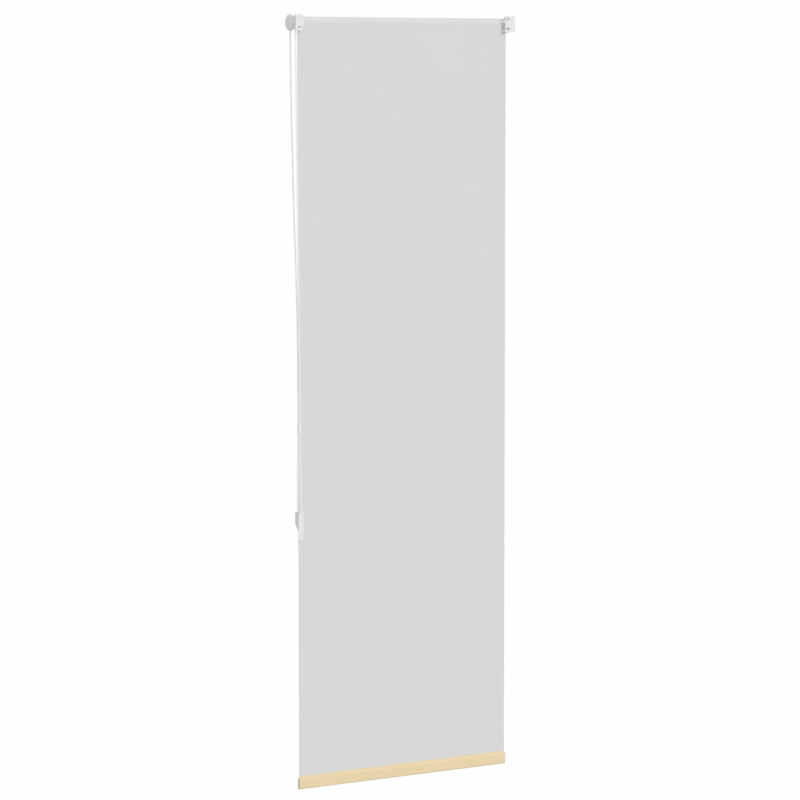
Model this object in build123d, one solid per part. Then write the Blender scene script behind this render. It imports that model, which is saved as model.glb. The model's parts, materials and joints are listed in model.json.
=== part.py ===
from build123d import *
import os
from math import cos, pi, sin, tan, radians

# A chain-driven roller blind, in millimetres. X runs along the tube with the chain at +X, +Z is up, and
# the wall is the plane y = 0 with the room towards -Y. The origin is the centre of the four bracket slots.

# ---- whole blind
slot_span = 565.0  # between the slots of the two brackets, along X
control_face = 293.5  # outer face of the control unit's cover
idle_face = -306.5  # outer face of the idle unit's cover
axis_y = -30.0  # the tube's axis, in front of the wall
blind_bottom = -1731.0
fabric_right = control_face - 14.0
fabric_left = idle_face + 19.5
fabric_thickness = 0.4

# ---- brackets
plate_thickness = 3.0
plate_half_height = 18.0
arm_thickness = 2.2
arm_radius = 15.4
neck_half_height = 12.0
control_arm = 1.8  # how far each arm's outer face lies behind its cover's face
idle_arm = 5.0
cover_radius = 19.0
cover_flat = 12.5  # radius of the flat middle of a cover's face
cover_crown = 3.6  # how deep the rounded edge round it reaches
cover_wall = 1.6
cover_lip = 2.4  # how far a cover reaches past its arm's outer face
tongue_reach = 2.4
boss_radius = 6.0
boss_length = 3.5
slot_length = 11.0
slot_width = 4.5
slot_rise = 11.0  # each slot's height above or below the axis
groove_rise = 5.5
groove_size = 0.6
running_gap = 0.06  # radial clearance of a shaft that turns or slides

# ---- clutch and chain wheel
chain_plane = control_face - 10.0
bead_diameter = 4.5
bead_pitch = 6.0
wheel_beads = 12
wheel_radius = bead_pitch * wheel_beads / (2 * pi)  # to the middle of the beads
cord_diameter = 1.4
connector_drop = 905.0  # along the chain from the wheel
spindle_radius = 5.0
peg_side = 5.4
drum_inner = 6.9
drum_outer = 9.0
housing_radius = 18.0
housing_wall = 1.6
spring_wire = 1.2

# ---- tube and roll
tube_radius = 12.5
tube_wall = 1.0
roll_radius = 13.1
plug_radius = tube_radius - tube_wall
pin_radius = 3.0
pin_tip = idle_face + idle_arm + 0.9
tube_right = control_face - 14.2
tube_left = idle_face + 20.0

# ---- bottom rail
rail_height = 30.0  # of the hem, up to its seam's upper edge
rail_depth = 7.0
seam_height = 2.2
bar_height = 25.0
bar_depth = 6.0
bar_wall = 0.8
cap_height = 26.6
cap_thickness = 1.1
cap_plug = 12.0

# ---- tensioner
tensioner_top = -1097.0
tensioner_outer = control_face - 4.5
tensioner_width = 13.0
tensioner_plate_height = 63.0
tensioner_plate_thickness = 1.6
screw_rise = 11.0  # the screw hole's height above the plate's lower edge
screw_radius = 2.1
hood_wall = 1.0
corner_wall = 0.8
hood_height = 43.0
hood_front = -15.7
hood_slope = 16.0  # how far its sloping underside rises from the plate to its front
hood_corner = 4.0  # from the pulley's middle to the flat that keeps the hood clear of the rising rail
pulley_x = tensioner_outer - tensioner_width / 2
pulley_y = -8.15
pulley_z = tensioner_top - 18.0
pulley_turn = 36.6  # the pulley's axis stands this many degrees off the wall
pulley_radius = 5.1  # to the middle of the beads
axle_radius = 0.8
axle_ends = -3.9, 7.5  # along its own axis, from the pulley's middle


def rod(x0, x1, radius, y=axis_y, z=0.0):
    """A cylinder along X."""
    return Pos((x0 + x1) / 2, y, z) * Rot(0, 90, 0) * Cylinder(radius, abs(x1 - x0))


def ring(x0, x1, outer, inner, y=axis_y, z=0.0):
    """A hollow cylinder along X."""
    return rod(x0, x1, outer, y, z) - rod(min(x0, x1) - 1, max(x0, x1) + 1, inner, y, z)


def block(x0, x1, y0, y1, z0, z1):
    """A box between two corners."""
    size = abs(x1 - x0), abs(y1 - y0), abs(z1 - z0)
    return Pos((x0 + x1) / 2, (y0 + y1) / 2, (z0 + z1) / 2) * Box(*size)


def stadium(x0, x1, depth, height, y, z):
    """A flat bar along X with round long edges."""
    outline = Plane(origin=(min(x0, x1), y, z), x_dir=(0, 0, 1), z_dir=(1, 0, 0)) * SlotOverall(height, depth)
    return extrude(outline, abs(x1 - x0))


def slots(x):
    """The two screw slots of a bracket."""
    cut = extrude(Plane.XZ * SlotOverall(slot_length, slot_width), plate_thickness + 2)
    return [Pos(x, 1, rise) * cut for rise in (slot_rise, -slot_rise)]


def wall_plate(x0, x1, slot_x):
    """A bracket's plate, with round corners, two slots and two shallow grooves that frame its middle."""
    plate = block(x0, x1, -plate_thickness, 0, -plate_half_height, plate_half_height)
    plate = fillet(plate.edges().filter_by(Axis.Y), 1.5)
    plate = chamfer(plate.faces().sort_by(Axis.Y)[0].edges(), 0.5)
    for cut in slots(slot_x):
        plate -= cut
    for rise in (groove_rise, -groove_rise):
        plate -= block(x0 - 1, x1 + 1, -groove_size / 2, 1, rise - groove_size / 2, rise + groove_size / 2)
    return plate


def arm(face, inward, depth):
    """The side arm that carries one end of the tube: a disc on the axis and a neck to the plate."""
    x0, x1 = face + inward * depth, face + inward * (depth + arm_thickness)
    neck = block(x0, x1, axis_y, -plate_thickness / 2, -neck_half_height, neck_half_height)
    return rod(x0, x1, arm_radius) + neck


def cover(face, inward, depth):
    """The cup that hides an arm, with a softly rounded face and a notch for the arm's neck."""
    crown, open_end = face + inward * cover_crown, face + inward * (depth + cover_lip)
    half = make_face(
        Line((face, 0), (face, cover_flat))
        + EllipticalCenterArc(
            (crown, cover_flat), cover_crown, cover_radius - cover_flat, start_angle=90, arc_size=90 * inward)
        + Polyline((crown, cover_radius), (open_end, cover_radius), (open_end, 0), (face, 0))
    )
    cup = Pos(0, axis_y, 0) * revolve(half, Axis.X)
    cavity = face + inward * cover_wall, open_end + inward
    cup -= rod(*cavity, arm_radius + 0.2)
    notch = neck_half_height + 0.3
    return cup - block(*cavity, axis_y + 8, 0, -notch, notch)


def control_bracket():
    plate_width, peg_end = 19.0, 16.0
    plate = wall_plate(control_face - plate_width, control_face, slot_span / 2)
    tongue_end = control_face - plate_width - tongue_reach
    tongue = block(tongue_end, tongue_end + tongue_reach + 1, 0.6 - plate_thickness, -0.4, -6.5, 6.5)
    tongue = fillet(tongue.edges().filter_by(Axis.Y), 1.2)
    half = peg_side / 2
    peg = block(control_face - peg_end, control_face - control_arm - arm_thickness,
                axis_y - half, axis_y + half, -half, half)
    return plate + tongue + arm(control_face, -1, control_arm) + peg


def idle_bracket():
    plate = wall_plate(idle_face + idle_arm, idle_face + 32, -slot_span / 2)
    arm_end = idle_face + idle_arm + arm_thickness
    boss = rod(arm_end, arm_end + boss_length, boss_radius)
    socket = rod(idle_face + idle_arm + 0.6, arm_end + boss_length + 1, pin_radius + running_gap)
    return plate + arm(idle_face, 1, idle_arm) + boss - socket


def clutch_housing():
    """The fixed drum round the chain wheel, open towards the tube and below, where the chain leaves."""
    drum = rod(control_face - 4.3, control_face - 13.4, housing_radius)
    drum = fillet(drum.edges().filter_by(GeomType.CIRCLE).sort_by(Axis.X)[0], 0.5)
    drum -= rod(control_face - 5.9, control_face - 14, housing_radius - housing_wall)
    drum -= rod(control_face - 4, control_face - 6, spindle_radius + 0.05)
    half = wheel_radius + bead_diameter / 2 + 1.2
    drum -= block(control_face - 5.9, control_face - 14, axis_y - half, axis_y + half, -housing_radius - 1, -5)
    return drum


def clutch_spindle():
    """The fixed shaft that the chain wheel and the tube's drive plug turn on."""
    shaft = rod(control_face - 4.3, control_face - 42, spindle_radius)
    shaft += rod(control_face - 5.9, control_face - 6.5, 8.0)
    shaft -= ring(control_face - 37.9, control_face - 39.1, 6.0, 4.2)
    socket = peg_side / 2 + 0.1
    shaft -= block(control_face - 4, control_face - 17, axis_y - socket, axis_y + socket, -socket, socket)
    return shaft


def clutch_retainer():
    """The split clip in the spindle's groove."""
    clip = ring(control_face - 38.0, control_face - 39.0, 6.6, 4.2)
    return clip - block(control_face - 37, control_face - 40, axis_y - 1.8, axis_y + 1.8, -8, 0)


def chain_wheel():
    """Two flanges with a hub between them that has a pocket for each bead, and a drum for the springs."""
    half_gap = bead_diameter / 2 + 0.2
    flange = 0.9
    hub = rod(chain_plane - half_gap, chain_plane + half_gap, wheel_radius - 0.1)
    hub -= Pos(chain_plane, axis_y, 0) * Rot(0, 90, 0) * Torus(wheel_radius, cord_diameter / 2 + 0.25)
    for i in range(wheel_beads):
        angle = 2 * pi * i / wheel_beads
        at = Pos(chain_plane, axis_y + wheel_radius * cos(angle), wheel_radius * sin(angle))
        hub -= at * Sphere(bead_diameter / 2 + 0.15)
    for side in (-1, 1):
        hub += rod(chain_plane + side * half_gap, chain_plane + side * (half_gap + flange), wheel_radius + 2.2)
    inner_end = chain_plane - half_gap - flange
    hub += rod(inner_end, control_face - 31, drum_outer)
    hub -= rod(inner_end, control_face - 32, drum_inner)
    return hub - rod(chain_plane - 8, chain_plane + 8, spindle_radius + running_gap)


def wrap_springs():
    """Two close-wound springs that grip the spindle until the chain turns the wheel."""
    middle = spindle_radius + running_gap + spring_wire / 2
    coil = Rot(0, 90, 0) * Torus(middle, spring_wire / 2)
    springs = []
    for start in (14.6, 23.2):
        coils = [Pos(control_face - start - spring_wire * 0.94 * i, axis_y, 0) * coil for i in range(6)]
        springs.append(coils[0].fuse(*coils[1:]))
    return Compound(children=[Solid(s.solids()[0].wrapped) for s in springs])


def drive_plug():
    """The ribbed plug that carries the tube's control end and is turned by the springs' drum."""
    plug = rod(tube_right, control_face - 46, plug_radius - 0.05)
    plug += rod(control_face - 13.6, tube_right, tube_radius - 0.1)
    plug -= rod(control_face - 13, control_face - 31.5, drum_outer + running_gap)
    plug -= rod(control_face - 31, control_face - 37, spindle_radius + running_gap)
    plug -= rod(control_face - 36.8, control_face - 47, 8.6)
    for i in range(8):
        turn = Pos(0, axis_y, 0) * Rot(45 * i + 22.5, 0, 0) * Pos(0, -axis_y, 0)
        plug -= turn * block(tube_right - 3, control_face - 47, axis_y - 1, axis_y + 1, plug_radius - 0.9, plug_radius + 1)
    return plug


def idle_plug():
    """The plug that holds the sprung pin in the tube's idle end."""
    plug = rod(tube_left, idle_face + 47, plug_radius - 0.05)
    plug += rod(idle_face + 17.5, tube_left, tube_radius - 0.1)
    plug -= rod(idle_face + 17, idle_face + 24, pin_radius + running_gap)
    plug -= rod(idle_face + 23, idle_face + 45, 5.8)
    for i in range(8):
        turn = Pos(0, axis_y, 0) * Rot(45 * i + 22.5, 0, 0) * Pos(0, -axis_y, 0)
        plug -= turn * block(tube_left + 3, idle_face + 48, axis_y - 1, axis_y + 1, plug_radius - 0.9, plug_radius + 1)
    return plug


def idle_pin():
    pin = rod(pin_tip, idle_face + 33, pin_radius)
    pin = chamfer(pin.edges().sort_by(Axis.X)[0], 0.6)
    return pin + rod(idle_face + 23.2, idle_face + 25.2, 5.5)


def idle_spring():
    """The open spring that pushes the pin out of its plug."""
    wire, middle, turns, length = 0.8, 4.5, 6, 18.0
    helix = Helix(pitch=length / turns, height=length, radius=middle)
    coil = sweep(Plane(origin=helix @ 0, z_dir=helix % 0) * Circle(wire / 2), path=helix, is_frenet=True)
    return Pos(idle_face + 26, axis_y, 0) * Rot(0, 90, 0) * coil


def fabric_sheet():
    """The hanging cloth, from the roll's wall side down to the hem."""
    back = axis_y + roll_radius + 0.15
    return block(fabric_left, fabric_right, back, back + fabric_thickness, blind_bottom + rail_height + 0.2, 0)


rail_y = axis_y + roll_radius + 0.15 + fabric_thickness / 2


def drop(x0, x1, depth, bottom, height, tip, tip_z):
    """A flat bar along X whose upper edge runs out to a narrow tip."""
    bar = Plane(origin=(min(x0, x1), rail_y, 0), x_dir=(0, 1, 0), z_dir=(1, 0, 0))
    body = Pos(0, bottom + height / 2) * SlotOverall(height, depth, rotation=90)
    point = Pos(0, tip_z) * Rectangle(tip, 0.1)
    return extrude(bar * make_hull(body.edges() + point.edges()), abs(x1 - x0))


def hem_pocket():
    """The cloth folded round the bottom bar, with a seam along its upper edge."""
    top, wall = blind_bottom + rail_height, fabric_thickness
    seam_z = top - seam_height
    body = bar_height + 0.5
    outer = drop(fabric_left, fabric_right, rail_depth, blind_bottom, body + wall, 2 * wall, seam_z)
    outer += block(fabric_left, fabric_right, rail_y - wall, rail_y + wall, seam_z - 0.1, top)
    inner = rail_depth - 2 * wall, blind_bottom + wall, body - wall
    return outer - drop(fabric_left - 1, fabric_right + 1, *inner, 0.1, seam_z - 1)


def rail_bar(x0, x1, depth, height):
    """A flat bar along X with round edges, centred in the bottom bar's height."""
    return stadium(x0, x1, depth, height, rail_y, blind_bottom + 0.5 + bar_height / 2)


def bottom_bar():
    hollow = bar_depth - 2 * bar_wall, bar_height - 2 * bar_wall
    return rail_bar(fabric_left, fabric_right, bar_depth, bar_height) - rail_bar(
        fabric_left - 1, fabric_right + 1, *hollow)


def rail_cap(end, inward):
    """An end cap of the bottom bar, with the plug that holds it."""
    cap = stadium(end - inward * cap_thickness, end, rail_depth + 0.4, cap_height, rail_y,
                  blind_bottom + cap_height / 2)
    hollow = bar_depth - 2 * bar_wall - 0.2, bar_height - 2 * bar_wall - 0.2
    return cap + rail_bar(end, end + inward * cap_plug, *hollow)


# The loop of chain below the wheel, as corners of its route: down the wall side, round the pulley and up.
lean = radians(pulley_turn)
near = pulley_x - pulley_radius * sin(lean), pulley_y + pulley_radius * cos(lean)
far = pulley_x + pulley_radius * sin(lean), pulley_y - pulley_radius * cos(lean)
chain_route = [
    (chain_plane, axis_y + wheel_radius, -7.5),
    (283.3, -6.0, -640.0),
    (283.0, -5.2, -870.0),
    (*near, pulley_z - pulley_radius),
    (*far, pulley_z - pulley_radius),
    (283.2, -11.6, -870.0),
    (283.3, -13.2, -640.0),
    (283.5, -35.5, -280.0),
    (chain_plane, axis_y - wheel_radius, -7.5),
]


def corner_radius(before, corner, after):
    """As large an arc as two long runs allow."""
    first, second = Vector(corner) - Vector(before), Vector(after) - Vector(corner)
    half_turn = radians(first.get_angle(second)) / 2
    return 0.45 * min(first.length, second.length) / tan(half_turn)


corner_radii = [corner_radius(*chain_route[i:i + 3]) for i in range(len(chain_route) - 2)]
corner_radii[2:4] = [pulley_radius - 0.05] * 2
chain_path = FilletPolyline(*chain_route, radius=corner_radii)


def bead_chain():
    """The free part of the beaded loop, as the tube that its beads fill."""
    path = chain_path
    section = Plane(origin=path @ 0, z_dir=path % 0) * Circle(bead_diameter / 2)
    chain = sweep(section, path=path)
    print("chain length", round(path.length, 1), "least radius", round(min(corner_radii), 2), "volume share",
          round(chain.volume / (path.length * pi * bead_diameter**2 / 4), 4))
    return chain


def chain_wheel_cord():
    """The cord of the chain where it goes over the wheel."""
    arch = Pos(chain_plane, axis_y, 0) * Rot(0, 90, 0) * Torus(wheel_radius, cord_diameter / 2)
    arch -= block(chain_plane - 3, chain_plane + 3, axis_y - 20, axis_y + 20, -20, 0)
    for y in (axis_y - wheel_radius, axis_y + wheel_radius):
        arch += Pos(chain_plane, y, -3.6) * Cylinder(cord_diameter / 2, 7.2)
    return arch


def chain_connector():
    """The slotted sleeve that closes the loop, on its wall-side strand."""
    length, bore = 11.0, bead_diameter / 2 + 0.1
    barrel = Cylinder(bore + 0.65, length) - Cylinder(bore, length + 1) - Pos(3, 0, 0) * Box(4, 1.0, length + 1)
    share = connector_drop / chain_path.length
    return Plane(origin=chain_path @ share, z_dir=chain_path % share) * barrel


def tensioner_back_plate():
    x0 = tensioner_outer - tensioner_width
    bottom = tensioner_top - tensioner_plate_height
    plate = block(x0, tensioner_outer, -tensioner_plate_thickness, 0, bottom, tensioner_top)
    plate = fillet(plate.edges().filter_by(Axis.Y), 2.0)
    hole = Pos((x0 + tensioner_outer) / 2, -1, bottom + screw_rise) * Rot(90, 0, 0) * Cylinder(screw_radius, 6)
    return plate - hole


def on_pulley(shape):
    """Moves a shape made round the X axis onto the pulley's axis."""
    return Pos(pulley_x, pulley_y, pulley_z) * Rot(0, 0, pulley_turn) * shape


def beyond_corner(distance):
    """Everything on the cloth's side of the pulley that is farther along its axis than a distance."""
    size = 100.0
    return on_pulley(Pos(-distance - size / 2, 0, 0) * Box(size, size, size))


def tensioner_body():
    """The hood over the pulley, open towards its plate and above, with a flat corner and a sloping underside."""
    x0, back = tensioner_outer - tensioner_width, -tensioner_plate_thickness
    bottom = tensioner_top - hood_height
    side = Plane(origin=(x0, 0, 0), x_dir=(0, 1, 0), z_dir=(1, 0, 0))
    outline = make_face(Polyline(
        (back, tensioner_top), (hood_front, tensioner_top), (hood_front, bottom + hood_slope), (back, bottom),
        close=True))
    hood = extrude(side * outline, tensioner_width)
    hood = fillet(hood.edges().filter_by(Axis.X).sort_by(Axis.Y)[:2], 2.0)
    inner_front, open_side = hood_front + hood_wall, back + 1
    cavity = make_face(Polyline(
        (open_side, tensioner_top + 1), (inner_front, tensioner_top + 1), (inner_front, bottom + hood_slope + 1),
        (open_side, bottom + 2.6), close=True))
    hood -= beyond_corner(hood_corner)
    hollow = extrude(side.offset(hood_wall) * cavity, tensioner_width - 2 * hood_wall)
    return hood - (hollow - beyond_corner(hood_corner - corner_wall)) - tensioner_axle()


def tensioner_pulley():
    half, flange = bead_diameter / 2 + 0.2, 0.4
    wheel = Rot(0, 90, 0) * Cylinder(pulley_radius - half, 2 * half)
    for side in (-1, 1):
        wheel += Pos(side * (half + flange / 2), 0, 0) * Rot(0, 90, 0) * Cylinder(pulley_radius, flange)
    return on_pulley(wheel - Rot(0, 90, 0) * Cylinder(axle_radius + running_gap / 2, 4 * half))


def tensioner_axle():
    start, end = axle_ends
    return on_pulley(Pos((start + end) / 2, 0, 0) * Rot(0, 90, 0) * Cylinder(axle_radius, end - start))


nodes = {
    "control_bracket": control_bracket(),
    "control_bracket_cover": cover(control_face, -1, control_arm),
    "idle_bracket": idle_bracket(),
    "idle_bracket_cover": cover(idle_face, 1, idle_arm),
    "clutch_housing": clutch_housing(),
    "clutch_spindle": clutch_spindle(),
    "clutch_retainer": clutch_retainer(),
    "chain_wheel": chain_wheel(),
    "wrap_springs": wrap_springs(),
    "drive_plug": drive_plug(),
    "roller_tube": ring(tube_left, tube_right, tube_radius, plug_radius),
    "fabric_roll": ring(fabric_left, fabric_right, roll_radius, tube_radius),
    "idle_plug": idle_plug(),
    "idle_pin": idle_pin(),
    "idle_spring": idle_spring(),
    "fabric_sheet": fabric_sheet(),
    "hem_pocket": hem_pocket(),
    "bottom_bar": bottom_bar(),
    "rail_cap_control": rail_cap(fabric_right, -1),
    "rail_cap_idle": rail_cap(fabric_left, 1),
    "bead_chain": bead_chain(),
    "chain_wheel_cord": chain_wheel_cord(),
    "chain_connector": chain_connector(),
    "tensioner_back_plate": tensioner_back_plate(),
    "tensioner_body": tensioner_body(),
    "tensioner_pulley": tensioner_pulley(),
    "tensioner_axle": tensioner_axle(),
}

os.makedirs("parts", exist_ok=True)
for name, shape in nodes.items():
    export_step(shape, f"parts/{name}.step")
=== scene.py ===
import json
from math import acos, atan2, cos, degrees, hypot, pi, radians, sin

import bmesh
import bpy
from bpy.props import FloatProperty, FloatVectorProperty, IntProperty, PointerProperty
from mathutils import Euler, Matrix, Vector, noise


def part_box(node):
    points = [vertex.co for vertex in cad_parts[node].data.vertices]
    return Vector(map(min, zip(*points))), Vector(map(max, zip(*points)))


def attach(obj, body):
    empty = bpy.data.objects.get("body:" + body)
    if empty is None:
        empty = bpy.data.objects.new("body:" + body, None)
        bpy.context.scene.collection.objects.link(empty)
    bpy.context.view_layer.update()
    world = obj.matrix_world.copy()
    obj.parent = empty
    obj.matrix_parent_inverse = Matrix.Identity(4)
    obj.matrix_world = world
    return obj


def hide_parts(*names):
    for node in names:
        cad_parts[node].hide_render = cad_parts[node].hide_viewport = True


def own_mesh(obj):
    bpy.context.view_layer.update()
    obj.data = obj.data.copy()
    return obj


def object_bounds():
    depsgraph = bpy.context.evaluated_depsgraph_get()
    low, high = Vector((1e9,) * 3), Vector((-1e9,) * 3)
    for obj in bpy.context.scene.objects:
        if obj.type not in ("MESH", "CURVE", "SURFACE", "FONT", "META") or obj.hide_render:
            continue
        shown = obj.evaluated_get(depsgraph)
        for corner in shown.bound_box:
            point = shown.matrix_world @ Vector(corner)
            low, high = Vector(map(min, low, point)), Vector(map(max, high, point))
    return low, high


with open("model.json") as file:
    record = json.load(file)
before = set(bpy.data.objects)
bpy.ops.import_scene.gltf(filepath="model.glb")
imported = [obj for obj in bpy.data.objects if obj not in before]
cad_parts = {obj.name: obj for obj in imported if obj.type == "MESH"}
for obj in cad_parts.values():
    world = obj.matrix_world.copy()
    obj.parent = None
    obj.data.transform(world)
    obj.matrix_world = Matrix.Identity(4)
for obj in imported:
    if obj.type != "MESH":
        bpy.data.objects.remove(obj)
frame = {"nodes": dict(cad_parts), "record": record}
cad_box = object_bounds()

bl_info = {
    "name": "Roller Blind",
    "version": (1, 0, 0),
    "blender": (4, 5, 0),
    "location": "View3D > Sidebar > Roller Blind",
    "description": "A chain-driven roller blind with woven cloth, beads and moulded fittings",
    "category": "Object",
}

# ------------------------------------------------------------------ places read from the frame
MM = 0.001
SHEET_LOW, SHEET_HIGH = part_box("fabric_sheet")
ROLL_LOW, ROLL_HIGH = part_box("fabric_roll")
HEM_LOW, HEM_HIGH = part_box("hem_pocket")

AXIS_Y = (ROLL_LOW.y + ROLL_HIGH.y) / 2
ROLL_RADIUS = ROLL_HIGH.z
CLOTH_LEFT, CLOTH_RIGHT = SHEET_LOW.x, SHEET_HIGH.x
CLOTH_WIDTH = CLOTH_RIGHT - CLOTH_LEFT
HEM_Y = (HEM_LOW.y + HEM_HIGH.y) / 2
HEM_RADIUS = (HEM_HIGH.y - HEM_LOW.y) / 2

# ------------------------------------------------------------------ fixed sizes and values
CHAIN_PLANE = 283.5  # where the chain meets its wheel, in millimetres along the tube
ROLL_TURNS = 1.04  # of cloth that stay on the tube
WHITE = 0.994  # of the background, as the camera sees it
AMBIENT = 0.78  # even light from all sides
SUN_WIDTH = 12  # degrees
FLOOR_DROP = 0.35  # from the blind's lower end to the floor


# ------------------------------------------------------------------ settings
class BlindCloth(bpy.types.PropertyGroup):
    thickness: FloatProperty(name="Thickness", description="Thickness of the coated cloth",
                             default=0.29 * MM, min=0.1 * MM, max=1.0 * MM, precision=5, unit="LENGTH")
    front: FloatVectorProperty(name="Front", description="Colour of the woven room side", subtype="COLOR",
                               size=3, default=(0.82, 0.67, 0.414), min=0, max=1)
    back: FloatVectorProperty(name="Back", description="Colour of the light-blocking coating",
                              subtype="COLOR", size=3, default=(0.70, 0.70, 0.70), min=0, max=1)
    yarn: FloatProperty(name="Yarn", description="Distance from yarn to yarn", default=0.55 * MM,
                        min=0.2 * MM, max=2.0 * MM, precision=5, unit="LENGTH")
    ripple: FloatProperty(name="Ripple", description="How far the hanging cloth waves from flat",
                          default=0.35 * MM, min=0, max=3.0 * MM, precision=5, unit="LENGTH")
    seam: FloatProperty(name="Hem seam", description="Height of the strip where the hem is sewn",
                        default=2.2 * MM, min=1.0 * MM, max=10.0 * MM, precision=5, unit="LENGTH")
    stitch: FloatProperty(name="Stitch", description="Distance from stitch to stitch in the hem",
                          default=2.5 * MM, min=1.0 * MM, max=8.0 * MM, precision=5, unit="LENGTH")


class BlindChain(bpy.types.PropertyGroup):
    bead: FloatProperty(name="Bead", description="Diameter of one bead", default=4.5 * MM,
                        min=2.0 * MM, max=8.0 * MM, precision=5, unit="LENGTH")
    pitch: FloatProperty(name="Pitch", description="Distance from bead to bead", default=6.0 * MM,
                         min=3.0 * MM, max=12.0 * MM, precision=5, unit="LENGTH")
    cord: FloatProperty(name="Cord", description="Diameter of the cord that the beads are moulded on",
                        default=1.4 * MM, min=0.5 * MM, max=3.0 * MM, precision=5, unit="LENGTH")
    wheel_beads: IntProperty(name="Wheel beads", description="Pockets round the chain wheel",
                             default=12, min=6, max=24)
    colour: FloatVectorProperty(name="Colour", description="Colour of the beads", subtype="COLOR",
                                size=3, default=(0.94, 0.94, 0.935), min=0, max=1)


class BlindFittings(bpy.types.PropertyGroup):
    white: FloatVectorProperty(name="White", description="Colour of the moulded fittings", subtype="COLOR",
                               size=3, default=(0.83, 0.83, 0.825), min=0, max=1)
    inner: FloatVectorProperty(name="Inner parts", description="Colour of the clutch's moulded parts",
                               subtype="COLOR", size=3, default=(0.62, 0.62, 0.61), min=0, max=1)
    caps: FloatVectorProperty(name="Rail caps", description="Colour of the bottom bar's end caps",
                              subtype="COLOR", size=3, default=(0.71, 0.66, 0.47), min=0, max=1)


class BlindStage(bpy.types.PropertyGroup):
    azimuth: FloatProperty(name="Azimuth", description="Camera's way round the blind, from the room's side",
                           default=radians(146.63), subtype="ANGLE", unit="ROTATION")
    distance: FloatProperty(name="Distance", description="From the blind to the camera, across the floor",
                            default=8.22, min=1, max=30, unit="LENGTH")
    aim: FloatProperty(name="Aim", description="Where along the tube the camera looks",
                       default=16.75 * MM, precision=4, unit="LENGTH")
    height: FloatProperty(name="Height", description="The camera's height over the tube's axis",
                          default=-0.1136, unit="LENGTH")
    tilt: FloatProperty(name="Tilt", description="How far the camera looks down", default=radians(5.16),
                        subtype="ANGLE", unit="ROTATION")
    lens: FloatProperty(name="Lens", description="Focal length of the camera, in millimetres", default=162.7,
                        min=20, max=400)


# ------------------------------------------------------------------ shader tools
def link(tree, source, target):
    tree.links.new(source, target)


def math_node(tree, operation, first, second=None, clamp=False):
    node = tree.nodes.new("ShaderNodeMath")
    node.operation, node.use_clamp = operation, clamp
    for socket, value in zip(node.inputs, (first, second)):
        if isinstance(value, (int, float)):
            socket.default_value = value
        elif value is not None:
            link(tree, value, socket)
    return node.outputs[0]


def noise_node(tree, vector, scale, detail=2.0, roughness=0.5):
    node = tree.nodes.new("ShaderNodeTexNoise")
    node.inputs["Scale"].default_value = scale
    node.inputs["Detail"].default_value = detail
    node.inputs["Roughness"].default_value = roughness
    link(tree, vector, node.inputs["Vector"])
    return node.outputs["Fac"]


def stretched(tree, vector, scale):
    """The coordinates scaled along each axis, so that a pattern on them is drawn out."""
    node = tree.nodes.new("ShaderNodeVectorMath")
    node.operation = "MULTIPLY"
    node.inputs[1].default_value = scale
    link(tree, vector, node.inputs[0])
    return node.outputs[0]


def node_group(name, kind, inputs, outputs):
    """A node group with named sockets, and its input and output nodes."""
    tree = bpy.data.node_groups.new(name, kind)
    for label, socket_type, value in inputs:
        socket = tree.interface.new_socket(label, in_out="INPUT", socket_type=socket_type)
        if value is not None:
            socket.default_value = value
    for label, socket_type in outputs:
        tree.interface.new_socket(label, in_out="OUTPUT", socket_type=socket_type)
    return tree, tree.nodes.new("NodeGroupInput"), tree.nodes.new("NodeGroupOutput")


def finish_group(name, values):
    """A group that turns coordinates and a colour into a finish, with named values of its own."""
    inputs = [("Vector", "NodeSocketVector", None), ("Colour", "NodeSocketColor", None)]
    inputs += [(label, "NodeSocketFloat", value) for label, value in values.items()]
    outputs = [("Colour", "NodeSocketColor"), ("Roughness", "NodeSocketFloat"), ("Height", "NodeSocketFloat")]
    return node_group(name, "ShaderNodeTree", inputs, outputs)


def tinted(tree, colour, amount):
    """The colour made lighter or darker by a factor that is 1 where nothing changes."""
    node = tree.nodes.new("ShaderNodeVectorMath")
    node.operation = "SCALE"
    link(tree, colour, node.inputs[0])
    link(tree, amount, node.inputs["Scale"])
    return node.outputs[0]


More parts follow.
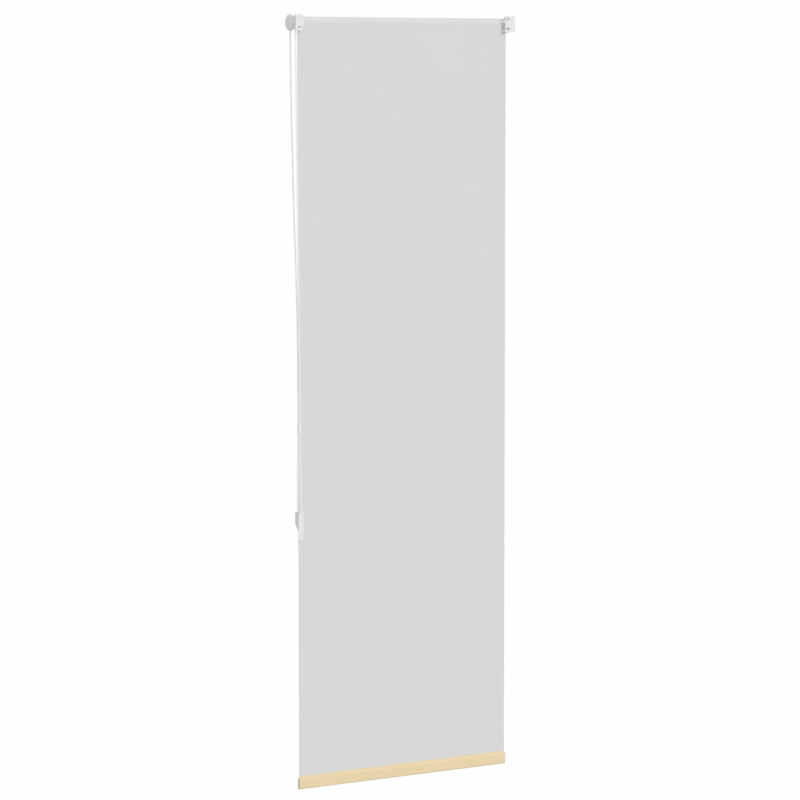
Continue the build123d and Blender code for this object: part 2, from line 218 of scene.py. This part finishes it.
def cloth_group():
    """Plain weave: yarns over and under, uneven yarn colour, a slow unevenness of the whole cloth, and a
    faint painted highlight on the yarn crowns.
    """
    tree, inside, outside = finish_group("Plain Weave", {"Yarn": 0.55 * MM, "Relief": 1.0, "Variation": 0.05})
    split = tree.nodes.new("ShaderNodeSeparateXYZ")
    link(tree, inside.outputs["Vector"], split.inputs[0])
    turn = math_node(tree, "DIVIDE", pi, inside.outputs["Yarn"])
    across = math_node(tree, "SINE", math_node(tree, "MULTIPLY", split.outputs["X"], turn))
    along = math_node(tree, "SINE", math_node(tree, "MULTIPLY", split.outputs["Y"], turn))
    over = math_node(tree, "MULTIPLY", across, along)
    crown = math_node(tree, "ABSOLUTE", over)
    lifted = math_node(tree, "MULTIPLY", over, 0.5)
    height = math_node(tree, "ADD", lifted, math_node(tree, "MULTIPLY", crown, 0.35))
    warp = noise_node(tree, stretched(tree, inside.outputs["Vector"], (900.0, 9.0, 900.0)), 1.0, 3.0)
    weft = noise_node(tree, stretched(tree, inside.outputs["Vector"], (9.0, 900.0, 9.0)), 1.0, 3.0)
    slow = noise_node(tree, inside.outputs["Vector"], 7.0, 2.0)
    mean = math_node(tree, "MULTIPLY", math_node(tree, "ADD", warp, weft), 0.5)
    streaks = math_node(tree, "SUBTRACT", mean, 0.5)
    drift = math_node(tree, "MULTIPLY", math_node(tree, "SUBTRACT", slow, 0.5), 0.6)
    uneven = math_node(tree, "ADD", streaks, drift)
    shade = math_node(tree, "ADD", math_node(tree, "MULTIPLY", uneven, inside.outputs["Variation"]), 1.0)
    # painted highlight: the yarn crowns are made 2% lighter, as if they caught more light
    shade = math_node(tree, "ADD", shade, math_node(tree, "MULTIPLY", crown, 0.02))
    link(tree, tinted(tree, inside.outputs["Colour"], shade), outside.inputs["Colour"])
    rough = math_node(tree, "ADD", math_node(tree, "MULTIPLY", streaks, 0.12), 0.8)
    link(tree, rough, outside.inputs["Roughness"])
    raised = math_node(tree, "MULTIPLY", height, inside.outputs["Relief"])
    link(tree, raised, outside.inputs["Height"])
    return tree


def moulding_group():
    """Moulded plastic: a fine spark-eroded grain, faint flow marks and uneven gloss."""
    tree, inside, outside = finish_group("Moulded Skin", {"Grain": 2600.0, "Gloss": 0.35, "Dust": 0.03})
    grain = tree.nodes.new("ShaderNodeTexNoise")
    grain.inputs["Detail"].default_value = 2.0
    link(tree, inside.outputs["Vector"], grain.inputs["Vector"])
    link(tree, inside.outputs["Grain"], grain.inputs["Scale"])
    flow = noise_node(tree, stretched(tree, inside.outputs["Vector"], (60.0, 60.0, 14.0)), 1.0, 3.0)
    slow = math_node(tree, "SUBTRACT", flow, 0.5)
    shade = math_node(tree, "ADD", math_node(tree, "MULTIPLY", slow, inside.outputs["Dust"]), 1.0)
    link(tree, tinted(tree, inside.outputs["Colour"], shade), outside.inputs["Colour"])
    rough = math_node(tree, "ADD", inside.outputs["Gloss"], math_node(tree, "MULTIPLY", slow, 0.18))
    rough = math_node(tree, "ADD", rough, math_node(tree, "MULTIPLY", grain.outputs["Fac"], 0.06))
    link(tree, rough, outside.inputs["Roughness"])
    link(tree, grain.outputs["Fac"], outside.inputs["Height"])
    return tree


def metal_group():
    """Drawn metal: fine lines along X, uneven gloss and a few dull patches."""
    tree, inside, outside = finish_group("Drawn Metal", {"Gloss": 0.3})
    lines = noise_node(tree, stretched(tree, inside.outputs["Vector"], (25.0, 3200.0, 3200.0)), 1.0, 3.0)
    patches = noise_node(tree, inside.outputs["Vector"], 60.0, 3.0)
    fine = math_node(tree, "MULTIPLY", lines, 0.6)
    mixed = math_node(tree, "ADD", fine, math_node(tree, "MULTIPLY", patches, 0.4))
    shade = math_node(tree, "ADD", math_node(tree, "MULTIPLY", mixed, 0.14), 0.93)
    link(tree, tinted(tree, inside.outputs["Colour"], shade), outside.inputs["Colour"])
    rough = math_node(tree, "ADD", inside.outputs["Gloss"], math_node(tree, "MULTIPLY", mixed, 0.22))
    link(tree, rough, outside.inputs["Roughness"])
    link(tree, lines, outside.inputs["Height"])
    return tree


def finish_material(name, group, colour, values, bump, coordinates="Object", **shader):
    """A material with one group between its coordinates and its shader. bump is (strength, distance)."""
    material = bpy.data.materials.new(name)
    material.use_nodes = True
    tree = material.node_tree
    tree.nodes.clear()
    out = tree.nodes.new("ShaderNodeOutputMaterial")
    principled = tree.nodes.new("ShaderNodeBsdfPrincipled")
    link(tree, principled.outputs[0], out.inputs["Surface"])
    where = tree.nodes.new("ShaderNodeTexCoord")
    inner = tree.nodes.new("ShaderNodeGroup")
    inner.node_tree = group
    link(tree, where.outputs[coordinates], inner.inputs["Vector"])
    inner.inputs["Colour"].default_value = (*colour, 1.0)
    for label, value in values.items():
        inner.inputs[label].default_value = value
    link(tree, inner.outputs["Colour"], principled.inputs["Base Color"])
    link(tree, inner.outputs["Roughness"], principled.inputs["Roughness"])
    raised = tree.nodes.new("ShaderNodeBump")
    raised.inputs["Strength"].default_value, raised.inputs["Distance"].default_value = bump
    link(tree, inner.outputs["Height"], raised.inputs["Height"])
    link(tree, raised.outputs["Normal"], principled.inputs["Normal"])
    for label, value in shader.items():
        principled.inputs[label.replace("_", " ")].default_value = value
    return material


MATERIALS = {}


def make_materials(scene):
    """Every finish of the blind, by name."""
    cloth, fittings, chain = scene.blind_cloth, scene.blind_fittings, scene.blind_chain
    weave, skin, metal = cloth_group(), moulding_group(), metal_group()
    edge = [0.5 * (front + back) for front, back in zip(cloth.front, cloth.back)]
    thread = [0.95 * part for part in cloth.front]

    def add(name, group, colour, values, bump, coordinates="Object", **shader):
        MATERIALS[name] = finish_material(name, group, colour, values, bump, coordinates, **shader)

    add("cream_weave", weave, cloth.front, {"Yarn": cloth.yarn, "Variation": 0.10}, (0.35, 0.12 * MM), "UV",
        Sheen_Weight=0.25, Sheen_Roughness=0.5)
    add("grey_coating", weave, cloth.back, {"Yarn": cloth.yarn, "Relief": 0.5, "Variation": 0.035},
        (0.25, 0.08 * MM), "UV")
    add("cut_edge", weave, edge, {"Yarn": cloth.yarn * 0.5, "Variation": 0.3}, (0.6, 0.1 * MM))
    add("thread", weave, thread, {"Yarn": 0.12 * MM, "Variation": 0.2}, (0.5, 0.05 * MM))
    add("white_plastic", skin, fittings.white, {"Gloss": 0.33}, (0.12, 0.03 * MM))
    add("inner_plastic", skin, fittings.inner, {"Gloss": 0.42, "Dust": 0.06}, (0.2, 0.04 * MM))
    add("cap_plastic", skin, fittings.caps, {"Gloss": 0.4, "Dust": 0.05}, (0.2, 0.04 * MM))
    add("bead_plastic", skin, chain.colour, {"Gloss": 0.2, "Grain": 1500.0}, (0.05, 0.02 * MM),
        Coat_Weight=0.15)
    add("cord_fibre", weave, (0.9, 0.9, 0.89), {"Yarn": 0.25 * MM, "Variation": 0.2}, (0.6, 0.08 * MM))
    add("tube_aluminium", metal, (0.78, 0.78, 0.79), {"Gloss": 0.28}, (0.1, 0.01 * MM), Metallic=1.0)
    add("spring_steel", metal, (0.62, 0.62, 0.64), {"Gloss": 0.22}, (0.1, 0.01 * MM), Metallic=1.0)


# ------------------------------------------------------------------ mesh tools
def mesh_piece(name, mesh, body, slot, *materials):
    """A piece of the blind on its body; slot is not used. A mesh that has materials keeps them."""
    piece = bpy.data.objects.new(name, mesh)
    bpy.context.scene.collection.objects.link(piece)
    if not mesh.materials:
        for material in materials:
            mesh.materials.append(MATERIALS[material])
    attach(piece, body)
    return piece


def closed_strip(name, outer, inner, columns, shape=None):
    """A cloth of two skins that runs along a path in Y and Z and is as wide as the columns in X.

    outer and inner are the path's two sides, as lists of (y, z). Faces get material 0 on the outer side,
    1 on the inner side and 2 on the cut edges, and UVs in metres along and across the cloth.
    """
    mesh, bm = bpy.data.meshes.new(name), bmesh.new()
    uv, rim = bm.loops.layers.uv.new("UVMap"), 0.4 * MM
    run = [0.0]
    for before, after in zip(outer, outer[1:]):
        run.append(run[-1] + (Vector(after) - Vector(before)).length)
    sides = []
    for path in (outer, inner):
        rows = []
        for k, (y, z) in enumerate(path):
            rows.append([bm.verts.new((x, y + (shape(x, z) if shape else 0.0), z)) for x in columns])
        sides.append(rows)

    def face(corners, places, index):
        made = bm.faces.new(corners)
        made.material_index, made.smooth = index, index < 2
        for loop, place in zip(made.loops, places):
            loop[uv].uv = place

    last, end = len(columns) - 1, len(outer) - 1
    for side, rows in enumerate(sides):
        for k in range(end):
            for i in range(last):
                corners = [rows[k][i], rows[k][i + 1], rows[k + 1][i + 1], rows[k + 1][i]]
                places = [(columns[i], run[k]), (columns[i + 1], run[k]),
                          (columns[i + 1], run[k + 1]), (columns[i], run[k + 1])]
                if side:
                    corners.reverse()
                    places.reverse()
                face(corners, places, side)
    first, second = sides
    for k in range(end):
        for i, flip in ((0, False), (last, True)):
            corners = [first[k][i], first[k + 1][i], second[k + 1][i], second[k][i]]
            places = [(0.0, run[k]), (0.0, run[k + 1]), (rim, run[k + 1]), (rim, run[k])]
            face(corners[::-1] if flip else corners, places[::-1] if flip else places, 2)
    for k, flip in ((0, True), (end, False)):
        for i in range(last):
            corners = [first[k][i], second[k][i], second[k][i + 1], first[k][i + 1]]
            places = [(columns[i], 0.0), (columns[i], rim), (columns[i + 1], rim), (columns[i + 1], 0.0)]
            face(corners[::-1] if flip else corners, places[::-1] if flip else places, 2)
    bmesh.ops.recalc_face_normals(bm, faces=bm.faces)
    for edge in bm.edges:
        edge.smooth = len({face.material_index for face in edge.link_faces}) == 1
    bm.to_mesh(mesh)
    bm.free()
    return mesh


def evenly(low, high, steps):
    """Values from low to high, both included."""
    return [low + (high - low) * i / steps for i in range(steps + 1)]


def offset_path(path, distance):
    """The path moved sideways by a distance, to the left of the way it runs."""
    moved = []
    for i, point in enumerate(path):
        before, after = Vector(path[max(i - 1, 0)]), Vector(path[min(i + 1, len(path) - 1)])
        run = (after - before).normalized()
        moved.append(tuple(Vector(point) + Vector((-run.y, run.x)) * distance))
    return moved


def arc(centre, radius, start, stop, steps):
    """Points on a circle in Y and Z; angles in degrees, from +Y towards +Z."""
    angles = [radians(start + (stop - start) * i / steps) for i in range(steps + 1)]
    return [(centre[0] + radius * cos(a), centre[1] + radius * sin(a)) for a in angles]


# ------------------------------------------------------------------ geometry node tools
def geometry_tree(name, inputs):
    """A geometry node tree with named inputs, and its input and output nodes."""
    geometry = ("Geometry", "NodeSocketGeometry")
    return node_group(name, "GeometryNodeTree", [(*geometry, None), *inputs], [geometry])


def run_tree(name, mesh, tree, values):
    """The plain mesh that a geometry node tree makes from a mesh."""
    source = bpy.data.objects.new(name + "_source", mesh)
    bpy.context.scene.collection.objects.link(source)
    modifier = source.modifiers.new("Nodes", "NODES")
    modifier.node_group = tree
    sockets = {s.name: s.identifier for s in tree.interface.items_tree if s.in_out == "INPUT"}
    for label, value in values.items():
        modifier[sockets[label]] = value
    evaluated = source.evaluated_get(bpy.context.evaluated_depsgraph_get())
    made = bpy.data.meshes.new_from_object(evaluated)
    made.name = name
    source.modifiers.remove(modifier)
    bpy.data.objects.remove(source)
    for polygon in made.polygons:
        polygon.use_smooth = True
    return made


def repeat_along_line(tree, inside, outside, shape, count):
    """Copies of a shape at even steps along a line of points, turned along it, as one painted mesh."""
    nodes = tree.nodes
    curve = nodes.new("GeometryNodeMeshToCurve")
    spaced = nodes.new("GeometryNodeResampleCurve")
    place = nodes.new("GeometryNodeInstanceOnPoints")
    tangent = nodes.new("GeometryNodeInputTangent")
    align = nodes.new("FunctionNodeAlignEulerToVector")
    align.axis = "Z"
    real = nodes.new("GeometryNodeRealizeInstances")
    paint = nodes.new("GeometryNodeSetMaterial")
    link(tree, inside.outputs["Geometry"], curve.inputs["Mesh"])
    link(tree, curve.outputs["Curve"], spaced.inputs["Curve"])
    link(tree, inside.outputs[count], spaced.inputs["Count"])
    link(tree, spaced.outputs["Curve"], place.inputs["Points"])
    link(tree, shape.outputs["Mesh"], place.inputs["Instance"])
    link(tree, tangent.outputs["Tangent"], align.inputs["Vector"])
    link(tree, align.outputs["Rotation"], place.inputs["Rotation"])
    link(tree, place.outputs["Instances"], real.inputs["Geometry"])
    link(tree, real.outputs["Geometry"], paint.inputs["Geometry"])
    link(tree, inside.outputs["Material"], paint.inputs["Material"])
    link(tree, paint.outputs["Geometry"], outside.inputs["Geometry"])
    return place


def ball_node(tree, segments, rings):
    ball = tree.nodes.new("GeometryNodeMeshUVSphere")
    ball.inputs["Segments"].default_value = segments
    ball.inputs["Rings"].default_value = rings
    return ball


def bead_tree():
    """Round beads, evenly spaced along a line of points."""
    tree, inside, outside = geometry_tree("Bead String", [
        ("Beads", "NodeSocketInt", 300), ("Radius", "NodeSocketFloat", 2.25 * MM),
        ("Material", "NodeSocketMaterial", None)])
    ball = ball_node(tree, 12, 8)
    link(tree, inside.outputs["Radius"], ball.inputs["Radius"])
    repeat_along_line(tree, inside, outside, ball, "Beads")
    return tree


def stitch_tree():
    """A row of short threads along a line, each lying along the line and dipping in at its ends."""
    tree, inside, outside = geometry_tree("Stitch Row", [
        ("Stitches", "NodeSocketInt", 180), ("Length", "NodeSocketFloat", 2.2 * MM),
        ("Thread", "NodeSocketFloat", 0.4 * MM), ("Material", "NodeSocketMaterial", None)])
    thread = ball_node(tree, 6, 6)
    thread.inputs["Radius"].default_value = 0.5
    size = tree.nodes.new("ShaderNodeCombineXYZ")
    for axis, label in zip("XYZ", ("Thread", "Thread", "Length")):
        link(tree, inside.outputs[label], size.inputs[axis])
    place = repeat_along_line(tree, inside, outside, thread, "Stitches")
    link(tree, size.outputs["Vector"], place.inputs["Scale"])
    return tree


def joined(name, meshes):
    """One mesh out of several."""
    bm = bmesh.new()
    for mesh in meshes:
        bm.from_mesh(mesh)
        bpy.data.meshes.remove(mesh)
    made = bpy.data.meshes.new(name)
    bm.to_mesh(made)
    bm.free()
    return made


def path_length(points):
    return sum((Vector(b) - Vector(a)).length for a, b in zip(points, points[1:]))


def line_mesh(name, points):
    mesh = bpy.data.meshes.new(name)
    mesh.from_pydata(points, [(i, i + 1) for i in range(len(points) - 1)], [])
    return mesh


# ------------------------------------------------------------------ fittings kept from the frame
FINISH_OF_SLOT = {
    "white_plastic": "white_plastic",
    "clutch_plastic": "inner_plastic",
    "chain_plastic": "bead_plastic",
    "spring_steel": "spring_steel",
    "tube_aluminium": "tube_aluminium",
    "bar_aluminium": "tube_aluminium",
    "cap_plastic": "cap_plastic",
}


class BLIND_OT_fittings(bpy.types.Operator):
    """Give the brackets, clutch, tube, bar and tensioner their finishes"""
    bl_idname = "blind.fittings"
    bl_label = "Fittings"

    def execute(self, context):
        make_materials(context.scene)
        for part in frame["record"]["subparts"]:
            finish = FINISH_OF_SLOT.get(part["material_slot"])
            if finish:
                node = frame["nodes"][part["node"]]
                node.data.materials.clear()
                node.data.materials.append(MATERIALS[finish])
        frame["nodes"]["chain_wheel_cord"].data.materials[0] = MATERIALS["cord_fibre"]
        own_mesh(frame["nodes"]["idle_spring"])
        return {"FINISHED"}


# ------------------------------------------------------------------ cloth
def spiral(radius, thickness, turns, steps):
    """The outer and inner sides of cloth wound inwards from the roll's wall side, over the top."""
    sides = ([], [])
    for i in range(steps + 1):
        turn = turns * i / steps
        outside = radius - thickness * turn
        angle = 2 * pi * turn
        inside = outside - thickness * 0.97  # a hair's gap between turns
        for side, reach in zip(sides, (outside, inside)):
            side.append((AXIS_Y + reach * cos(angle), reach * sin(angle)))
    return sides


class BLIND_OT_roll(bpy.types.Operator):
    """Wind the cloth that stays on the tube"""
    bl_idname = "blind.roll"
    bl_label = "Roll"

    def execute(self, context):
        cloth = context.scene.blind_cloth
        outer, inner = spiral(ROLL_RADIUS, cloth.thickness, ROLL_TURNS, 150)
        mesh = closed_strip("cloth_roll", outer, inner, evenly(CLOTH_LEFT, CLOTH_RIGHT, 24))
        roll = mesh_piece("cloth_roll", mesh, "roller", "coated_cloth",
                          "grey_coating", "cream_weave", "cut_edge")
        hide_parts("fabric_roll")
        return {"FINISHED"}


class BLIND_OT_sheet(bpy.types.Operator):
    """Hang the cloth from the roll to the hem"""
    bl_idname = "blind.sheet"
    bl_label = "Hanging cloth"

    def execute(self, context):
        cloth = context.scene.blind_cloth
        wall_side, bottom = AXIS_Y + ROLL_RADIUS, HEM_HIGH.z
        middle, half = (CLOTH_LEFT + CLOTH_RIGHT) / 2, CLOTH_WIDTH / 2
        held_above, held_below = 0.25, 0.12  # how far from the roll and the bar the ripples fade in

        def wave(x, z):
            """Slow ripples and a faint curl of the long edges, fading out near the roll and the bar."""
            free = max(0.0, min(1.0, -z / held_above, (z - bottom) / held_below))
            slow = noise.noise(Vector((x * 5.0, 0.3, z * 1.7)))
            curl = (abs(x - middle) / half) ** 8 * 0.8
            return (HEM_Y - wall_side) * z / bottom + free * cloth.ripple * (slow - curl)

        heights = evenly(0.0, bottom, 170)
        outer = [(wall_side, z) for z in heights]
        inner = [(wall_side - cloth.thickness, z) for z in heights]
        mesh = closed_strip("hanging_cloth", outer, inner, evenly(CLOTH_LEFT, CLOTH_RIGHT, 56), wave)
        sheet = mesh_piece("hanging_cloth", mesh, "root", "coated_cloth",
                           "grey_coating", "cream_weave", "cut_edge")
        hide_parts("fabric_sheet")
        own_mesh(sheet)
        return {"FINISHED"}


class BLIND_OT_hem(bpy.types.Operator):
    """Fold the cloth round the bottom bar and stitch the fold"""
    bl_idname = "blind.hem"
    bl_label = "Hem"

    def execute(self, context):
        cloth = context.scene.blind_cloth
        t, top = cloth.thickness, HEM_HIGH.z
        seam = top - cloth.seam
        shoulder = 1.55 * HEM_RADIUS  # height over which the pocket narrows to its seam
        low, high = HEM_LOW.z + HEM_RADIUS, seam - shoulder
        lean = degrees(acos(HEM_RADIUS / hypot(t, shoulder)) + atan2(t, shoulder))
        front = [(HEM_Y - t, top), (HEM_Y - t, top - cloth.seam / 2), (HEM_Y - t, seam)]
        front += arc((HEM_Y, high), HEM_RADIUS, 90 + lean, 180, 6)
        front += [(HEM_Y - HEM_RADIUS, z) for z in evenly(high, low, 8)[1:-1]]
        under = arc((HEM_Y, low), HEM_RADIUS, 180, 360, 24)
        back = [(HEM_Y + HEM_RADIUS, z) for z in evenly(low, high, 8)[1:-1]]
        back += arc((HEM_Y, high), HEM_RADIUS, 0, 90 - lean, 6)
        back += [(HEM_Y + t, seam), (HEM_Y + t, top - cloth.seam / 2), (HEM_Y + t, top)]
        outer = front + under + back
        inner = offset_path(outer, t * 0.98)
        mesh = closed_strip("hem", outer, inner, evenly(CLOTH_LEFT, CLOTH_RIGHT, 24))
        hem = mesh_piece("hem", mesh, "bottom_rail", "cream_cloth",
                         "cream_weave", "grey_coating", "cut_edge")
        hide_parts("hem_pocket")
        thread, inset = 0.32 * MM, 2 * MM
        rows = []
        for side in (-1, 1):
            y, z = HEM_Y + side * (t + 0.1 * thread), top - cloth.seam / 2
            line = line_mesh("hem_stitch_line", [(CLOTH_LEFT + inset, y, z), (CLOTH_RIGHT - inset, y, z)])
            rows.append(run_tree("hem_stitches", line, stitch_tree(), {
                "Stitches": int(CLOTH_WIDTH / cloth.stitch), "Length": cloth.stitch * 0.85, "Thread": thread,
                "Material": MATERIALS["thread"]}))
        row = joined("hem_stitches", rows)
        stitches = mesh_piece("hem_stitches", row, "bottom_rail", "cream_cloth", "thread")
        return {"FINISHED"}


# ------------------------------------------------------------------ chain
def chain_route():
    """The loop below the wheel: down the wall side, round the pulley, and up the room side."""
    route = [
        (CHAIN_PLANE, -18.5408, -6.0),
        (283.3, -6.0, -640.0),
        (283.0, -5.2, -870.0),
        (279.459, -4.056, -1109.0),
        (279.459, -4.056, -1120.1),
        (285.541, -12.244, -1120.1),
        (285.541, -12.244, -1109.0),
        (283.2, -11.6, -870.0),
        (283.3, -13.2, -640.0),
        (283.5, -35.5, -280.0),
        (CHAIN_PLANE, -41.4592, -6.0),
    ]
    return [tuple(part * MM for part in point) for point in route]


def curve_line(route):
    """A smooth curve with the route's points as its control points, and the points read from it."""
    data = bpy.data.curves.new("chain_cord", "CURVE")
    data.dimensions = "3D"
    data.resolution_u = 48
    spline = data.splines.new("NURBS")
    spline.points.add(len(route) - 1)
    for point, place in zip(spline.points, route):
        point.co = (*place, 1.0)
    spline.order_u = 3
    spline.use_endpoint_u = True
    bare = bpy.data.objects.new("bare_line", data)
    mesh = bpy.data.meshes.new_from_object(bare)
    points = [tuple(v.co) for v in mesh.vertices]
    bpy.data.objects.remove(bare)
    bpy.data.meshes.remove(mesh)
    return data, points


class BLIND_OT_chain(bpy.types.Operator):
    """Hang the bead chain from its wheel, through the connector and round the tensioner's pulley"""
    bl_idname = "blind.chain"
    bl_label = "Bead chain"

    def execute(self, context):
        chain = context.scene.blind_chain
        data, points = curve_line(chain_route())
        data.bevel_depth = chain.cord / 2
        data.bevel_resolution = 3
        data.materials.append(MATERIALS["cord_fibre"])
        cord = bpy.data.objects.new("chain_cord", data)
        context.scene.collection.objects.link(cord)
        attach(cord, "root")
        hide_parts("bead_chain")
        length = path_length(points)
        beads = round(length / chain.pitch) + 1
        string = run_tree("chain_beads", line_mesh("chain_line", points), bead_tree(), {
            "Beads": beads, "Radius": chain.bead / 2, "Material": MATERIALS["bead_plastic"]})
        string_piece = mesh_piece("chain_beads", string, "root", "chain_plastic", "bead_plastic")
        return {"FINISHED"}


class BLIND_OT_wheel_beads(bpy.types.Operator):
    """Lay the chain's beads in the wheel's upper pockets"""
    bl_idname = "blind.wheel_beads"
    bl_label = "Beads on the wheel"

    def execute(self, context):
        chain = context.scene.blind_chain
        plane = CHAIN_PLANE * MM
        radius = chain.pitch * chain.wheel_beads / (2 * pi)
        half = chain.wheel_beads // 2
        points = [(plane, y, z) for y, z in arc((AXIS_Y, 0), radius, 0, 180, half)]
        mesh = run_tree("wheel_beads", line_mesh("wheel_line", points), bead_tree(), {
            "Beads": half + 1, "Radius": chain.bead / 2, "Material": MATERIALS["bead_plastic"]})
        mesh_piece("wheel_beads", mesh, "chain_drive", "chain_plastic", "bead_plastic")
        return {"FINISHED"}


# ------------------------------------------------------------------ stage
def soft_sun(name, way, strength):
    """An even, soft light that comes from a direction."""
    data = bpy.data.lights.new(name, "SUN")
    data.angle, data.energy = radians(SUN_WIDTH), strength
    lamp = bpy.data.objects.new(name, data)
    lamp.rotation_euler = (-Vector(way)).to_track_quat("-Z", "Y").to_euler()
    bpy.context.scene.collection.objects.link(lamp)


def seen_and_lit(owner, output, seen, lit):
    """Show the camera one shader and everything else another, and give back the two shader nodes."""
    owner.use_nodes = True
    tree = owner.node_tree
    tree.nodes.clear()
    seen, lit = tree.nodes.new(seen), tree.nodes.new(lit)
    out, mix = tree.nodes.new(output), tree.nodes.new("ShaderNodeMixShader")
    path = tree.nodes.new("ShaderNodeLightPath")
    link(tree, path.outputs["Is Camera Ray"], mix.inputs[0])
    link(tree, lit.outputs[0], mix.inputs[1])
    link(tree, seen.outputs[0], mix.inputs[2])
    link(tree, mix.outputs[0], out.inputs["Surface"])
    return seen, lit


def studio_world():
    """White to the camera and an even ambient light to everything else."""
    world = bpy.data.worlds.new("studio")
    nodes = seen_and_lit(world, "ShaderNodeOutputWorld", "ShaderNodeBackground", "ShaderNodeBackground")
    for node, strength in zip(nodes, (WHITE, AMBIENT)):
        node.inputs["Color"].default_value = (1, 1, 1, 1)
        node.inputs["Strength"].default_value = strength
    bpy.context.scene.world = world


def floor_material():
    """A pale floor that meets the white background and gives the blind a soft light from below."""
    material = bpy.data.materials.new("studio_floor")
    seen, pale = seen_and_lit(material, "ShaderNodeOutputMaterial",
                              "ShaderNodeEmission", "ShaderNodeBsdfDiffuse")
    seen.inputs["Strength"].default_value = WHITE
    pale.inputs["Color"].default_value = (0.5, 0.5, 0.5, 1)
    return material


class BLIND_OT_stage(bpy.types.Operator):
    """Set up the camera, the soft lights and the pale floor"""
    bl_idname = "blind.stage"
    bl_label = "Stage"

    def execute(self, context):
        scene, stage = context.scene, context.scene.blind_stage
        data = bpy.data.cameras.new("camera")
        data.lens, data.sensor_width = stage.lens, 36.0
        data.clip_end = 60
        camera = bpy.data.objects.new("camera", data)
        across, along = stage.distance * sin(stage.azimuth), -stage.distance * cos(stage.azimuth)
        camera.location = (stage.aim + across, along, stage.height)
        camera.rotation_euler = Euler((pi / 2 - stage.tilt, 0, stage.azimuth))
        scene.collection.objects.link(camera)
        scene.camera = camera
        scene.view_settings.view_transform = "Standard"
        studio_world()
        soft_sun("key_wall_side", (0, 1, 0.3), 1.05)
        soft_sun("key_room_side", (-0.4, -1, 0.5), 1.1)
        floor = bpy.data.meshes.new("floor")
        span, level = 40.0, cad_box[0].z - FLOOR_DROP
        corners = [(x, y, level) for x, y in ((-span, -span), (span, -span), (span, span), (-span, span))]
        floor.from_pydata(corners, [], [(0, 1, 2, 3)])
        floor.materials.append(floor_material())
        ground = bpy.data.objects.new("floor", floor)
        scene.collection.objects.link(ground)
        return {"FINISHED"}


# ------------------------------------------------------------------ the add-on
class BLIND_PT_panel(bpy.types.Panel):
    """Lists the blind's pieces"""
    bl_label = "Roller Blind"
    bl_idname = "BLIND_PT_panel"
    bl_space_type = "VIEW_3D"
    bl_region_type = "UI"
    bl_category = "Roller Blind"

    def draw(self, context):
        for operator in OPERATORS:
            self.layout.operator(operator.bl_idname)
        for name in ("blind_cloth", "blind_chain", "blind_fittings", "blind_stage"):
            settings = getattr(context.scene, name)
            for field in settings.__annotations__:
                self.layout.prop(settings, field)


SETTINGS = {"blind_cloth": BlindCloth, "blind_chain": BlindChain, "blind_fittings": BlindFittings,
            "blind_stage": BlindStage}
OPERATORS = (BLIND_OT_fittings, BLIND_OT_roll, BLIND_OT_sheet, BLIND_OT_hem, BLIND_OT_chain,
             BLIND_OT_wheel_beads, BLIND_OT_stage)


def register():
    for name, group in SETTINGS.items():
        bpy.utils.register_class(group)
        setattr(bpy.types.Scene, name, PointerProperty(type=group))
    for item in (*OPERATORS, BLIND_PT_panel):
        bpy.utils.register_class(item)


def unregister():
    for item in reversed((*OPERATORS, BLIND_PT_panel)):
        bpy.utils.unregister_class(item)
    for name, group in SETTINGS.items():
        delattr(bpy.types.Scene, name)
        bpy.utils.unregister_class(group)


def main():
    register()
    bpy.ops.blind.fittings()
    bpy.ops.blind.roll()
    bpy.ops.blind.sheet()
    bpy.ops.blind.hem()
    bpy.ops.blind.chain()
    bpy.ops.blind.wheel_beads()
    bpy.ops.blind.stage()


if __name__ == "__main__":
    main()
